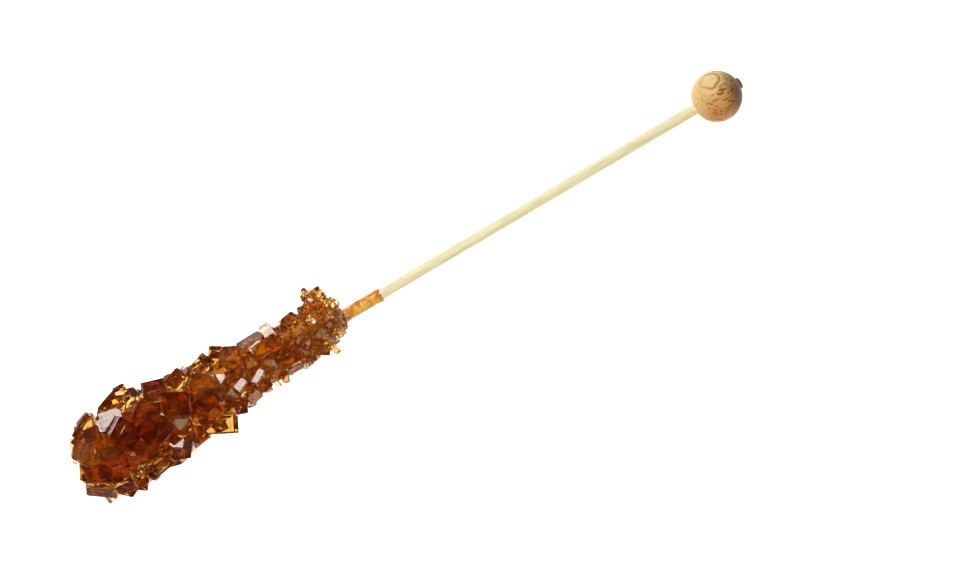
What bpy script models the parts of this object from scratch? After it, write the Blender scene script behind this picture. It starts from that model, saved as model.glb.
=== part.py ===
"""Rock candy stick: a wooden swizzle stick with a ball on one end and grown sugar crystals on the other.

The part lies on the floor plane z = 0 with its stick along X, the ball towards +X and the candy towards -X.
Stations are distances along the stick from the ball's centre towards the candy's tip. Lengths named
in the constants are millimetres until they are multiplied by MM.
"""

import math
import random

import bmesh
import bpy
from mathutils import Euler, Matrix, Vector

MM = 0.001

# Wooden ball, bored through for the stick
BALL_RADIUS = 5.5
BALL_ARC_STEPS = 14
BALL_TURN_STEPS = 32
GAP = 0.3

# Wooden stick, slightly thinner towards the candy
STICK_RADIUS_AT_BALL = 1.28
STICK_RADIUS_AT_CANDY = 1.21
STICK_PROUD = 0.45
STICK_HIDDEN_END = 151.0
STICK_CHAMFER = 0.2
STICK_SIDES = 24

# Where the candy lies: its axis rises from the ball to the thick end
BALL_FLAT_DEPTH = 0.1
REST_STATION = 138.0
REST_HEIGHT = 9.4

# Candy: crystals over a lumpy core
CANDY_START = 93.2
CANDY_TIP = 156.5
CORE_SIDES = 14
CORE_RINGS = 26
CORE_LUMP = 0.5
CORE_SHARE = 0.8
FILL_SEED = 7
FILL_CRYSTALS = 96
GRAIN_SEED = 5
GRAINS = 48
MONOCLINIC_SKEW = math.tan(math.radians(13.5))

# Leading crystals stand nearly level, their depth a share of their length and width together
LEADING_DEPTH_SHARE = 0.45
LEADING_DEPTH_EXTRA = 0.5
LEADING_TILT = math.radians(8)
LEADING_RISE = 0.4

# Grown crystals lean from the core's outward direction, as slopes
LEAN_ALONG = 0.6
LEAN_ROUND = 0.5
SMALLEST_FILL = 1.7
FILL_GROWTH = 2.6
GRAIN_STRETCH = 16.0

# Mean outline of the candy: (station, radius, sideways offset of its middle from the stick)
OUTLINE = (
    (CANDY_START, 3.6, 1.2),
    (97.0, 4.9, 0.7),
    (104.0, 5.5, 0.3),
    (112.0, 5.9, 0.1),
    (122.0, 6.9, 0.1),
    (134.0, 8.6, 0.0),
    (145.0, 9.5, 0.0),
    (152.0, 8.2, -0.2),
    (CANDY_TIP, 4.2, -0.6),
)

# The crystals that give the candy its look: station, side, length, width, turn in degrees.
# Side is across the stick, and turn is counter-clockwise seen from above.
LEADING_CRYSTALS = (
    (153.9, 2.7, 6.2, 3.5, -27),
    (151.6, 7.3, 6.2, 1.6, 20),
    (150.0, 8.6, 3.3, 3.1, 30),
    (150.7, 4.7, 4.2, 3.3, -15),
    (145.5, 5.6, 5.0, 3.3, -14),
    (146.7, 4.7, 5.0, 3.0, -14),
    (143.2, 7.9, 6.2, 4.0, 22),
    (140.7, 10.4, 2.8, 1.9, -4),
    (140.1, 8.6, 4.6, 3.2, -8),
    (134.8, 6.5, 5.0, 4.6, -18),
    (135.1, 4.7, 3.1, 2.4, -12),
    (129.6, 5.7, 4.2, 3.4, 20),
    (127.4, 6.4, 1.4, 2.4, 28),
    (123.9, 5.7, 5.0, 3.0, 17),
    (121.8, 6.3, 1.6, 3.4, 22),
    (119.5, 7.0, 3.1, 3.1, -34),
    (117.5, 5.1, 4.0, 4.6, -38),
    (112.2, 5.2, 5.6, 3.0, 8),
    (111.9, 3.3, 3.1, 1.3, 10),
    (108.1, 4.9, 2.7, 3.8, -3),
    (102.6, 4.9, 3.1, 3.1, 16),
    (99.4, 5.1, 2.3, 2.6, -12),
    (96.5, 5.7, 3.2, 3.8, 38),
    (95.0, 6.6, 2.7, 3.6, 6),
    (98.0, -5.1, 1.3, 3.6, 18),
    (100.0, -4.4, 3.0, 2.6, -34),
    (103.1, -4.5, 2.6, 2.0, -14),
    (107.0, -5.0, 4.2, 1.8, -4),
    (109.7, -5.2, 1.7, 2.4, -24),
    (114.0, -4.9, 2.4, 2.6, 20),
    (117.3, -5.8, 3.2, 2.4, 10),
    (120.8, -6.1, 3.2, 3.0, -22),
    (126.8, -6.8, 7.6, 3.9, -28),
    (131.6, -6.9, 3.6, 4.1, 8),
    (136.0, -7.4, 4.4, 5.6, -26),
    (136.1, -5.7, 3.2, 2.5, -38),
    (141.8, -8.6, 6.2, 2.6, 9),
    (143.8, -7.7, 2.2, 1.6, -6),
    (146.9, -9.2, 3.3, 2.8, -36),
    (150.0, -8.4, 4.2, 2.6, -6),
    (154.9, -6.1, 6.6, 3.0, -34),
    (154.2, -2.6, 7.0, 4.0, -31),
    (153.3, 0.9, 4.6, 2.4, 30),
    (149.1, -2.0, 4.6, 4.4, -14),
    (144.2, 1.1, 6.4, 5.0, -58),
    (138.9, -2.2, 6.6, 5.4, 20),
    (138.3, 2.9, 5.2, 4.4, 38),
    (132.5, 1.1, 5.8, 5.2, -28),
    (127.1, -1.7, 5.6, 4.6, 14),
    (125.5, 2.7, 4.4, 3.8, -44),
    (118.7, -2.3, 2.9, 1.8, 20),
    (114.6, -2.6, 3.4, 1.6, 30),
    (110.1, 2.1, 5.8, 3.0, 5),
    (105.0, 0.6, 1.4, 1.7, -3),
    (106.4, -2.9, 5.2, 2.2, -5),
)


def new_material(name, colour, roughness):
    """One Principled material; colour is linear RGB."""
    material = bpy.data.materials.new(name)
    material.use_nodes = True
    shader = material.node_tree.nodes["Principled BSDF"]
    shader.inputs["Base Color"].default_value = (*colour, 1.0)
    shader.inputs["Roughness"].default_value = roughness
    shader.inputs["Metallic"].default_value = 0.0
    return material


def rest_matrix():
    """Places the stick's own frame, whose origin is the ball's centre, so that the part lies on z = 0."""
    ball_height = BALL_RADIUS - BALL_FLAT_DEPTH
    slope = math.atan2(REST_HEIGHT - ball_height, REST_STATION)
    return Matrix.Translation((0, 0, ball_height * MM)) @ Matrix.Rotation(slope, 4, "Y")


def outline_at(station):
    """Radius and sideways offset of the candy's mean outline at a station."""
    if station <= OUTLINE[0][0]:
        return OUTLINE[0][1:]
    for low, high in zip(OUTLINE, OUTLINE[1:]):
        if station <= high[0]:
            share = (station - low[0]) / (high[0] - low[0])
            return tuple(a + share * (b - a) for a, b in zip(low[1:], high[1:]))
    return OUTLINE[-1][1:]


def turned(bm, profile, steps, closed):
    """Turns (x, radius) points about the X axis; an open profile starts and ends on the axis."""
    verts = [bm.verts.new((x * MM, 0, radius * MM)) for x, radius in profile]
    edges = [bm.edges.new(pair) for pair in zip(verts, verts[1:])]
    if closed:
        edges.append(bm.edges.new((verts[-1], verts[0])))
    bmesh.ops.spin(bm, geom=verts + edges, cent=(0, 0, 0), axis=(1, 0, 0), angle=math.tau, steps=steps)
    bmesh.ops.remove_doubles(bm, verts=bm.verts, dist=0.001 * MM)
    bmesh.ops.recalc_face_normals(bm, faces=bm.faces)


def object_from(bm, name, material, smooth):
    mesh = bpy.data.meshes.new(name)
    bm.to_mesh(mesh)
    bm.free()
    mesh.materials.append(material)
    if smooth:
        mesh.shade_smooth()
        mesh.set_sharp_from_angle(angle=math.radians(35))
    obj = bpy.data.objects.new(name, mesh)
    bpy.context.scene.collection.objects.link(obj)
    return obj


def helper_from(bm, name):
    """A cutter or a joined shape, which isn't a piece of its own."""
    mesh = bpy.data.meshes.new(name)
    bm.to_mesh(mesh)
    bm.free()
    obj = bpy.data.objects.new(name, mesh)
    bpy.context.scene.collection.objects.link(obj)
    obj.hide_render = True
    obj.display_type = "WIRE"
    return obj


def boolean(obj, other, operation, use_self=False):
    modifier = obj.modifiers.new(f"{operation.lower()} {other.name}", "BOOLEAN")
    modifier.object = other
    modifier.operation = operation
    modifier.solver = "EXACT"
    modifier.use_self = use_self


def make_stick(material):
    """The dowel, from its end just proud of the ball to its hidden end inside the candy."""
    near_end = BALL_RADIUS + STICK_PROUD
    profile = [
        (near_end, 0.0),
        (near_end, STICK_RADIUS_AT_BALL - STICK_CHAMFER),
        (near_end - STICK_CHAMFER, STICK_RADIUS_AT_BALL),
        (0.0, STICK_RADIUS_AT_BALL),
        (-CANDY_START, STICK_RADIUS_AT_CANDY),
        (-STICK_HIDDEN_END, STICK_RADIUS_AT_CANDY),
        (-STICK_HIDDEN_END, 0.0),
    ]
    bm = bmesh.new()
    turned(bm, profile, STICK_SIDES, closed=False)
    return object_from(bm, "stick", material, smooth=True)


def make_ball(material):
    """A round bead with a bore right through it."""
    bore = STICK_RADIUS_AT_BALL + GAP
    rim = math.asin(bore / BALL_RADIUS)
    arc = [rim + (math.pi - 2 * rim) * i / BALL_ARC_STEPS for i in range(BALL_ARC_STEPS + 1)]
    profile = [(BALL_RADIUS * math.cos(a), BALL_RADIUS * math.sin(a)) for a in arc]
    bm = bmesh.new()
    turned(bm, profile, BALL_TURN_STEPS, closed=True)
    return object_from(bm, "ball", material, smooth=True)


def make_floor_cutter():
    """A slab whose top is the plane z = 0."""
    length, width, depth = 400 * MM, 100 * MM, 20 * MM
    bm = bmesh.new()
    bmesh.ops.create_cube(bm, size=1.0, matrix=Matrix.Diagonal((length, width, depth, 1)))
    bmesh.ops.translate(bm, verts=bm.verts, vec=(0, 0, -depth / 2))
    return helper_from(bm, "floor_cutter")


def make_bore_cutter():
    """The blind hole that the stick fills, with a gap all round."""
    radius = STICK_RADIUS_AT_CANDY + GAP
    open_end = -CANDY_START + 12.0
    blind_end = -(STICK_HIDDEN_END + GAP)
    profile = [(open_end, 0.0), (open_end, radius), (blind_end, radius), (blind_end, 0.0)]
    bm = bmesh.new()
    turned(bm, profile, STICK_SIDES, closed=False)
    return helper_from(bm, "bore_cutter")


def add_crystal(bm, place, size, blunt):
    """Adds one monoclinic sugar crystal: a skewed block whose two opposite upright edges are cut off."""
    length, width, depth = size
    corners = []
    for end in (-1, 1):
        for side in (-1, 1):
            for level in (-1, 1):
                x = end * length / 2 + MONOCLINIC_SKEW * level * depth / 2
                y = side * width / 2
                z = level * depth / 2
                if end * side > 0:
                    corners.append((x - end * blunt * length, y, z))
                    corners.append((x, y - side * blunt * width, z))
                else:
                    corners.append((x, y, z))
    verts = [bm.verts.new(place @ (Vector(corner) * MM)) for corner in corners]
    hull = bmesh.ops.convex_hull(bm, input=verts)
    faces = [item for item in hull["geom"] if isinstance(item, bmesh.types.BMFace)]
    edges = list(dict.fromkeys(edge for face in faces for edge in face.edges))
    bmesh.ops.dissolve_limit(bm, angle_limit=math.radians(1), verts=verts, edges=edges)


def leading_crystals(bm):
    """Places each leading crystal so that its top reaches the candy's outline above its own side."""
    rng = random.Random(FILL_SEED)
    for station, side, length, width, turn in LEADING_CRYSTALS:
        depth = LEADING_DEPTH_SHARE * (length + width) + LEADING_DEPTH_EXTRA
        radius, offset = outline_at(station)
        across = abs(side - offset)
        reach = max(radius + LEADING_RISE, across)
        top = math.sqrt(reach**2 - (0.9 * across) ** 2)
        centre = Vector((-station, side, top - depth / 2))
        roll = rng.uniform(-LEADING_TILT, LEADING_TILT)
        pitch = rng.uniform(-LEADING_TILT, LEADING_TILT)
        tilt = Euler((roll, pitch, 0)).to_matrix().to_4x4()
        spin = Matrix.Rotation(math.radians(turn), 4, "Z")
        place = Matrix.Translation(centre * MM) @ tilt @ spin
        add_crystal(bm, place, (length, width, depth), blunt=rng.uniform(0.05, 0.22))


def outward(angle):
    """Unit vector across the stick; angle 0 is straight up and a quarter turn is +Y."""
    return Vector((0, math.sin(angle), math.cos(angle)))


def grown_crystal(bm, rng, station, angle, size, reach_share):
    """A crystal rooted in the core that grows outwards at a slant, to a share of the outline's radius."""
    radius, offset = outline_at(station)
    lean_along = rng.uniform(-LEAN_ALONG, LEAN_ALONG)
    lean_round = rng.uniform(-LEAN_ROUND, LEAN_ROUND)
    axis = (outward(angle + lean_round) + Vector((lean_along, 0, 0))).normalized()
    length = size * rng.uniform(1.3, 2.0)
    centre = Vector((-station, offset, 0)) + outward(angle) * radius * reach_share - axis * length / 2
    turn = Matrix.Rotation(rng.uniform(0, math.tau), 4, "Z")
    place = Matrix.Translation(centre * MM) @ axis.to_track_quat("Z", "X").to_matrix().to_4x4() @ turn
    width = size * rng.uniform(0.7, 1.0)
    add_crystal(bm, place, (size, width, length), blunt=rng.uniform(0.05, 0.28))


def fill_crystals(bm):
    """Crystals all round the core, larger towards the tip and longer where no leading crystal stands."""
    rng = random.Random(FILL_SEED)
    golden_angle = math.pi * (3 - math.sqrt(5))
    for i in range(FILL_CRYSTALS):
        share = ((i + 0.5) / FILL_CRYSTALS) ** 0.8
        station = CANDY_START + 2.5 + share * (CANDY_TIP - CANDY_START - 5.0)
        angle = i * golden_angle + rng.uniform(-0.3, 0.3)
        under = math.cos(angle) < -0.1
        size = (SMALLEST_FILL + FILL_GROWTH * share) * rng.uniform(0.75, 1.3)
        reach_share = rng.uniform(0.92, 1.1) if under else rng.uniform(0.8, 0.98)
        grown_crystal(bm, rng, station, angle, size, reach_share)


def collar_grains(bm):
    """Small grains on the face where the stick comes out and on the thin end behind it."""
    rng = random.Random(GRAIN_SEED)
    for i in range(GRAINS):
        angle = rng.uniform(0, math.tau)
        station = CANDY_START + rng.uniform(0.0, GRAIN_STRETCH)
        size = rng.uniform(0.9, 1.6)
        grown_crystal(bm, rng, station, angle, size, reach_share=rng.uniform(0.86, 1.06))


def make_core(material):
    """The solid middle of the candy, with low lumps."""
    rng = random.Random(FILL_SEED)
    phases = [rng.uniform(0, math.tau) for _ in range(2)]
    bm = bmesh.new()
    rings = []
    for i in range(CORE_RINGS + 1):
        station = CANDY_START + (CANDY_TIP - 1.5 - CANDY_START) * i / CORE_RINGS
        ring = []
        for j in range(CORE_SIDES):
            angle = math.tau * (j + 0.5 * (i % 2)) / CORE_SIDES
            wave = math.sin(3 * angle + 0.35 * station + phases[0])
            ripple = math.sin(2 * angle + 0.9 * station + phases[1])
            radius, offset = outline_at(station)
            core_radius = radius * CORE_SHARE + CORE_LUMP * (wave + ripple) / 2
            ring.append(bm.verts.new((Vector((-station, offset, 0)) + outward(angle) * core_radius) * MM))
        rings.append(ring)
    for ring, after in zip(rings, rings[1:]):
        for j in range(CORE_SIDES):
            k = (j + 1) % CORE_SIDES
            bm.faces.new((ring[j], ring[k], after[k], after[j]))
    bm.faces.new(rings[0])
    bm.faces.new(rings[-1])
    bmesh.ops.recalc_face_normals(bm, faces=bm.faces)
    return object_from(bm, "candy", material, smooth=False)


def shells_of(bm):
    """The connected shells of a mesh, each a set of vertices."""
    left = set(bm.verts)
    shells = []
    while left:
        shell = set()
        edge_of_search = [left.pop()]
        while edge_of_search:
            vert = edge_of_search.pop()
            shell.add(vert)
            near = {edge.other_vert(vert) for edge in vert.link_edges} & left
            left -= near
            edge_of_search += near
        shells.append(shell)
    return shells


def keep_outer_shell(obj):
    """Applies the modifiers and fills the tiny pockets that neighbouring crystals shut in."""
    bpy.context.view_layer.update()
    graph = bpy.context.evaluated_depsgraph_get()
    mesh = bpy.data.meshes.new_from_object(obj.evaluated_get(graph))
    obj.modifiers.clear()
    bm = bmesh.new()
    bm.from_mesh(mesh)
    pockets = sorted(shells_of(bm), key=len)[:-1]
    bmesh.ops.delete(bm, geom=[vert for shell in pockets for vert in shell], context="VERTS")
    bm.to_mesh(mesh)
    bm.free()
    obj.data = mesh


def make_candy(material, floor_cutter):
    """One solid: the core and every crystal joined, bored for the stick and flat where it rests."""
    candy = make_core(material)
    bm = bmesh.new()
    leading_crystals(bm)
    fill_crystals(bm)
    collar_grains(bm)
    bmesh.ops.recalc_face_normals(bm, faces=bm.faces)
    crystals = helper_from(bm, "crystals")
    bore_cutter = make_bore_cutter()
    for obj in (candy, crystals, bore_cutter):
        obj.matrix_world = rest_matrix()
    boolean(candy, crystals, "UNION", use_self=True)
    boolean(candy, bore_cutter, "DIFFERENCE")
    boolean(candy, floor_cutter, "DIFFERENCE")
    keep_outer_shell(candy)
    return candy


def centre_over_origin(pieces, everything):
    """Slides the whole part along the floor until the middle of its bounding box is over the origin."""
    bpy.context.view_layer.update()
    graph = bpy.context.evaluated_depsgraph_get()
    corners = []
    for piece in pieces:
        shown = piece.evaluated_get(graph)
        corners += [shown.matrix_world @ vertex.co for vertex in shown.data.vertices]
    low = [min(corner[axis] for corner in corners) for axis in range(2)]
    high = [max(corner[axis] for corner in corners) for axis in range(2)]
    slide = Matrix.Translation((-(low[0] + high[0]) / 2, -(low[1] + high[1]) / 2, 0))
    for obj in everything:
        obj.matrix_world = slide @ obj.matrix_world


def main():
    for obj in list(bpy.data.objects):
        bpy.data.objects.remove(obj, do_unlink=True)
    birch = new_material("birch", (0.80, 0.70, 0.47), 0.55)
    beech = new_material("beech", (0.60, 0.36, 0.17), 0.45)
    amber_sugar = new_material("amber sugar", (0.23, 0.07, 0.015), 0.15)
    floor_cutter = make_floor_cutter()
    stick = make_stick(birch)
    stick.matrix_world = rest_matrix()
    ball = make_ball(beech)
    ball.matrix_world = rest_matrix()
    boolean(ball, floor_cutter, "DIFFERENCE")
    candy = make_candy(amber_sugar, floor_cutter)
    centre_over_origin((stick, ball, candy), list(bpy.data.objects))


main()
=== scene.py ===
"""Looks of the rock candy stick: clear amber crystals on a birch stick with a beech ball.

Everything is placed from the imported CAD: the ball's box gives the origin of the stick's own frame.
Stations are millimetres along the stick from the ball's centre towards the candy's tip, and the sizes of
shapes are in millimetres unless a comment says otherwise.
"""

import math
import random

import bmesh
import bpy
from mathutils import Euler, Matrix, Vector, noise
from mathutils.bvhtree import BVHTree


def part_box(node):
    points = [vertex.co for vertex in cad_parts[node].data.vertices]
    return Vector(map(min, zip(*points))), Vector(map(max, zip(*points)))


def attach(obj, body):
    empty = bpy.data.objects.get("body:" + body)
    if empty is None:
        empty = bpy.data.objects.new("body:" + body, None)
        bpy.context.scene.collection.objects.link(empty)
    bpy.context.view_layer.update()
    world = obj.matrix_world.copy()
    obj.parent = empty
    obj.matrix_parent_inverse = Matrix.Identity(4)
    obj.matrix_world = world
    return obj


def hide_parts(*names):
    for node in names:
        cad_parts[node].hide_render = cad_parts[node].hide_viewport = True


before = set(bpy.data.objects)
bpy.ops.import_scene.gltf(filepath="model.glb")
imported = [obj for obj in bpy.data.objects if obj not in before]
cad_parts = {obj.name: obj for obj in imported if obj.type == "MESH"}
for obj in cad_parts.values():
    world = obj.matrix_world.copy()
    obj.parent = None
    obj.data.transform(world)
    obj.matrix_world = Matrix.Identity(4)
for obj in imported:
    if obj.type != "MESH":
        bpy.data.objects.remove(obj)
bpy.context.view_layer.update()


def srgb(red, green, blue):
    """Linear colour from 0-255 sRGB values."""
    return tuple(
        c / 12.92 if c <= 0.04045 else ((c + 0.055) / 1.055) ** 2.4
        for c in (red / 255, green / 255, blue / 255)
    )


MM = 0.001
PER_MM = 1000

# Sizes that part.py also holds
BALL_RADIUS = 5.5
STICK_RADIUS_AT_BALL = 1.28
STICK_RADIUS_AT_CANDY = 1.21
STICK_PROUD = 0.45
STICK_HIDDEN_END = 151.0
STICK_CHAMFER = 0.2
BALL_FLAT_DEPTH = 0.1
REST_STATION = 138.0
REST_HEIGHT = 9.4
CANDY_START = 93.2
CANDY_TIP = 156.5
CORE_SIDES = 14
CORE_RINGS = 26
CORE_LUMP = 0.5
CORE_SHARE = 0.8
FILL_SEED = 7
FILL_CRYSTALS = 96
GRAIN_SEED = 5
GRAINS = 48
MONOCLINIC_SKEW = math.tan(math.radians(13.5))
LEADING_DEPTH_SHARE = 0.45
LEADING_DEPTH_EXTRA = 0.5
LEADING_RISE = 0.4
LEAN_ALONG = 0.6
LEAN_ROUND = 0.5
SMALLEST_FILL = 1.7
FILL_GROWTH = 2.6
GRAIN_STRETCH = 16.0

# Mean outline of the candy: (station, radius, sideways offset of its middle from the stick)
OUTLINE = (
    (CANDY_START, 3.6, 1.2),
    (97.0, 4.9, 0.7),
    (104.0, 5.5, 0.3),
    (112.0, 5.9, 0.1),
    (122.0, 6.9, 0.1),
    (134.0, 8.6, 0.0),
    (145.0, 9.5, 0.0),
    (152.0, 8.2, -0.2),
    (CANDY_TIP, 4.2, -0.6),
)

# The leading crystals of part.py: station, side, length, width, turn in degrees, and how each one looks
LEADING_CRYSTALS = (
    (153.9, 2.7, 6.2, 3.5, -27, "gold"),
    (151.6, 7.3, 6.2, 1.6, 20, "brown"),
    (150.0, 8.6, 3.3, 3.1, 30, "brown"),
    (150.7, 4.7, 4.2, 3.3, -15, "pale"),
    (145.5, 5.6, 5.0, 3.3, -14, "mirror"),
    (146.7, 4.7, 5.0, 3.0, -14, "mirror"),
    (143.2, 7.9, 6.2, 4.0, 22, "gold"),
    (140.7, 10.4, 2.8, 1.9, -4, "brown"),
    (140.1, 8.6, 4.6, 3.2, -8, "gold"),
    (134.8, 6.5, 5.0, 4.6, -18, "brown"),
    (135.1, 4.7, 3.1, 2.4, -12, "pale"),
    (129.6, 5.7, 4.2, 3.4, 20, "gold"),
    (127.4, 6.4, 1.4, 2.4, 28, "clear"),
    (123.9, 5.7, 5.0, 3.0, 17, "pale"),
    (121.8, 6.3, 1.6, 3.4, 22, "pale"),
    (119.5, 7.0, 3.1, 3.1, -34, "brown"),
    (117.5, 5.1, 4.0, 4.6, -38, "pale"),
    (112.2, 5.2, 5.6, 3.0, 8, "brown"),
    (111.9, 3.3, 3.1, 1.3, 10, "mirror"),
    (108.1, 4.9, 2.7, 3.8, -3, "mirror"),
    (102.6, 4.9, 3.1, 3.1, 16, "pale"),
    (99.4, 5.1, 2.3, 2.6, -12, "clear"),
    (96.5, 5.7, 3.2, 3.8, 38, "tan"),
    (95.0, 6.6, 2.7, 3.6, 6, "tan"),
    (98.0, -5.1, 1.3, 3.6, 18, "pale"),
    (100.0, -4.4, 3.0, 2.6, -34, "brown"),
    (103.1, -4.5, 2.6, 2.0, -14, "pale"),
    (107.0, -5.0, 4.2, 1.8, -4, "pale"),
    (109.7, -5.2, 1.7, 2.4, -24, "brown"),
    (114.0, -4.9, 2.4, 2.6, 20, "brown"),
    (117.3, -5.8, 3.2, 2.4, 10, "brown"),
    (120.8, -6.1, 3.2, 3.0, -22, "pale"),
    (126.8, -6.8, 7.6, 3.9, -28, "gold"),
    (131.6, -6.9, 3.6, 4.1, 8, "pale"),
    (136.0, -7.4, 4.4, 5.6, -26, "brown"),
    (136.1, -5.7, 3.2, 2.5, -38, "mirror"),
    (141.8, -8.6, 6.2, 2.6, 9, "brown"),
    (143.8, -7.7, 2.2, 1.6, -6, "pale"),
    (146.9, -9.2, 3.3, 2.8, -36, "pale"),
    (150.0, -8.4, 4.2, 2.6, -6, "dark"),
    (154.9, -6.1, 6.6, 3.0, -34, "dark"),
    (154.2, -2.6, 7.0, 4.0, -31, "dark"),
    (153.3, 0.9, 4.6, 2.4, 30, "gold"),
    (149.1, -2.0, 4.6, 4.4, -14, "gold"),
    (144.2, 1.1, 6.4, 5.0, -58, "dark"),
    (138.9, -2.2, 6.6, 5.4, 20, "dark"),
    (138.3, 2.9, 5.2, 4.4, 38, "dark"),
    (132.5, 1.1, 5.8, 5.2, -28, "dark"),
    (127.1, -1.7, 5.6, 4.6, 14, "brown"),
    (125.5, 2.7, 4.4, 3.8, -44, "gold"),
    (118.7, -2.3, 2.9, 1.8, 20, "mirror"),
    (114.6, -2.6, 3.4, 1.6, 30, "mirror"),
    (110.1, 2.1, 5.8, 3.0, 5, "brown"),
    (105.0, 0.6, 1.4, 1.7, -3, "pale"),
    (106.4, -2.9, 5.2, 2.2, -5, "brown"),
)

# Tint of each look of leading crystal: 1 lets light through nearly uncoloured, 0 turns it deep brown
LOOKS = {"clear": 1.0, "pale": 1.0, "mirror": 0.8, "gold": 0.85, "tan": 0.8, "brown": 0.52, "dark": 0.28}

# Leading crystals: how they lean outwards and forwards, their blunted corners and rounded edges
LEADING_SEED = 3
LEADING_FLATNESS = 0.9
LEAN_OUT = 0.55
LEAN_SPREAD = 0.2
TIP_LEAN = 0.55
TIP_LEAN_FROM = 145.0
TOP_JITTER = 0.02
LEADING_BLUNT = (0.05, 0.22)
LEADING_BEVEL = 0.13

# The step on the top of every leading crystal that is larger than this area in square millimetres
TERRACE_AREA = 12.0
TERRACE_SHARE = (0.5, 0.8)
TERRACE_STRAY = 0.12
TERRACE_STEP = 0.14
TERRACE_BEVEL = 0.08

# Smaller crystals keep clear of the leading ones' top faces. Only crystals up to the largest glint, and
# those with the mirror look, may lie within this angle of a mirror that shows the window to the camera.
TOP_CLEAR = 0.92
TOP_DEPTH_CLEAR = 0.3
LARGEST_GLINT = 1.5
MIRROR_CLEAR = math.radians(17)

# Proportions of the smaller crystals, as shares of their size
SMALL_BLUNT = (0.05, 0.28)
GROWN_LENGTH = (1.3, 2.0)
GROWN_WIDTH = (0.7, 1.0)
LOOSE_LENGTH = (0.9, 1.4)
LOOSE_DEPTH = (0.7, 1.1)

# Crystals all round the core, as in part.py: a reach is a share of the outline's radius
FILL_CROWDING = 0.8
FILL_INSET = 2.5
FILL_STRAY = 0.3
FILL_SIZES = (0.75, 1.3)
FILL_REACH = (0.8, 0.98)
UNDER_REACH = (0.92, 1.1)
UNDER_FROM = -0.1
GRAIN_SIZES = (0.9, 1.6)
GRAIN_REACH = (0.86, 1.06)

# Small crystals in the clefts, larger towards the tip
SMALL_SEED = 11
SMALL_CRYSTALS = 260
SMALL_CROWDING = 1.6
SMALL_INSET = 1.0
SMALL_SHORTER = 3.0
SMALLEST_SMALL = 0.8
SMALL_GROWTH = 1.2
SMALL_SIZES = (0.7, 1.4)
SMALL_REACH = (0.82, 1.02)

# Crust of fine grains round the thin end
CRUST_SEED = 12
CRUST_GRAINS = 240
CRUST_OVERHANG = 0.3
CRUST_STRETCH = 14.0
CRUST_CROWDING = 1.4
CRUST_SIZES = (0.7, 1.3)
CRUST_REACH = (0.92, 1.07)

# Grains on the thin end's face, which is a low cone round the stick
FACE_GRAINS = 110
FACE_OVERHANG = 0.4
FACE_CROWDING = 0.6
FACE_START = 1.3
FACE_SLOPE = 0.5
FACE_STRAY = (-0.3, 0.4)
FACE_SIZES = (0.6, 1.1)

# The horn of grains beside the thin end, in the stick's frame
HORN_GRAINS = 75
HORN_FOOT = Vector((-97.0, 3.4, 0.9))
HORN_TIP = Vector((-95.6, 8.3, 1.0))
HORN_RADIUS = 2.3
HORN_TAPER = 0.45
HORN_REACH = (0.7, 1.0)
HORN_SIZES = (0.7, 1.4)

# Lumps of the core: waves round it and along it
CORE_TIP_GAP = 1.5
CORE_WAVE = (3, 0.35)
CORE_RIPPLE = (2, 0.9)

# The cloudy heart inside the candy; towards the thin end it comes nearer to the surface and gets lighter
HEART_SEED = 21
HEART_CRYSTALS = 130
HEART_SHARE = 0.62
HEART_INSET = 2.5
HEART_SHORTER = 7.5
HEART_TURN = 2.4
HEART_SMALLEST = 1.4
HEART_GROWTH = 3.4
HEART_SIZES = (0.8, 1.2)
HEART_REACH = (0.66, 0.8)
HEART_THIN_RISE = 0.16
HEART_THIN_LIGHT = 0.75
HEART_HORN_GRAINS = 26
HEART_HORN_SHARE = 0.75
HEART_HORN_STRAY = 0.6
HEART_HORN_SIZES = (1.0, 1.8)

# Tints of faces and of kinds of crystal: 1 is the palest
FACE_TINTS = random.Random(31)
FACE_TINT = (0.6, 1.0)
# Bevelled rims are painted darker, as painted shade for the dark outlines along crystal edges
RIM_PAINTED_SHADE_TINT = 0.15
GRAIN_TINT = (0.5, 0.95)
SMALL_TINT = (0.5, 1.0)
HEART_TINT = (0.1, 0.65)

# How far from a crystal's face the union's faces still take its tint
TINT_REACH = 0.02

# Height of the lowest crystal faces and of the ball's flat over the floor
FLOOR_CLEARANCE = 0.03

# Fineness of the turned pieces, and the distance under which their points are one
STICK_RINGS = 60
STICK_SIDES = 48
BALL_RINGS = 64
BALL_SIDES = 96
BORE_FIT = 0.01
WELD = 0.0005

# Film of sugar on the wood: from its ragged end to just inside the candy
FILM_RINGS = 70
FILM_SIDES = 72
FILM_END = 83.2
FILM_INSIDE_CANDY = 0.6
FILM_THICKNESS = 0.2
FILM_THINNEST = 0.012
FILM_GAP = 0.004
FILM_RIM = 0.45
FILM_RIM_WIDTH = 0.5
FILM_EDGE_WIDTH = 0.22

# Sugar: absorption of red, green and blue per metre, and the colours that tints, veils and the heart give
SUGAR_IOR = 1.54
SUGAR_ABSORPTION = (23.0, 70.0, 255.0)
SUGAR_ROUGHNESS = (0.0, 0.08)
SUGAR_BUMP = (0.2, 0.0002)
TINTS = (
    (0.0, (0.35, 0.12, 0.03)),
    (0.3, (0.64, 0.38, 0.15)),
    (0.6, (0.88, 0.68, 0.38)),
    (1.0, (1.0, 1.0, 1.0)),
)
VEIL = (0.78, 0.55, 0.28)
VEIL_SHARE = 0.8
HEART_IOR = 1.3
HEART_ABSORPTION = (26.0, 78.0, 260.0)
HEART_ROUGHNESS = 0.2
HEART_TRANSMISSION = 0.8
HEART_COLOURS = (
    (0.1, (0.6, 0.18, 0.02)),
    (0.7, (0.98, 0.48, 0.08)),
    (1.0, (1.0, 0.72, 0.34)),
)

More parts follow.
